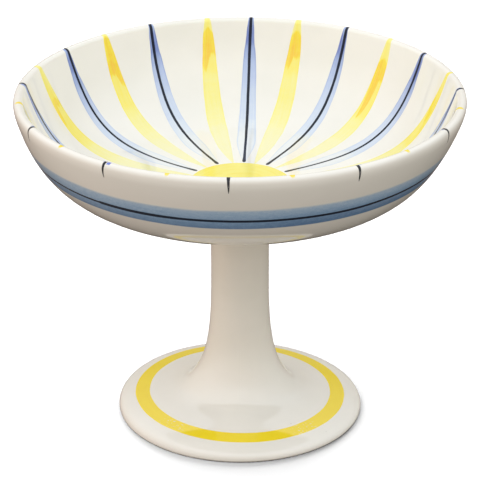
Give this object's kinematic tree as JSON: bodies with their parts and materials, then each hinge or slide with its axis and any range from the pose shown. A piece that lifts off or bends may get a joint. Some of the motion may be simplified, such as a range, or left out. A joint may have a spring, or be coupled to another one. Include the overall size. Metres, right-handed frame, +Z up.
{
  "type": "footed compote bowl",
  "caption": "Wide shallow glazed ceramic bowl raised on a slim hollow stem and a round flared foot.",
  "frame": {"origin": "centre of the face that the foot stands on", "axes": "+Z up along the axis of the bowl, stem and foot; the part is round about it, so +X and +Y are free"},
  "size_m": [0.24, 0.24, 0.1875],
  "materials": {
    "glazed_body": "glossy warm white glaze",
    "luting_slip": "matt fired slip"
  },
  "bodies": {
    "root": {"bowl": "glazed_body", "bowl_slip_joint": "luting_slip", "stem": "glazed_body", "foot_slip_joint": "luting_slip", "foot": "glazed_body"}
  },
  "joints": []
}
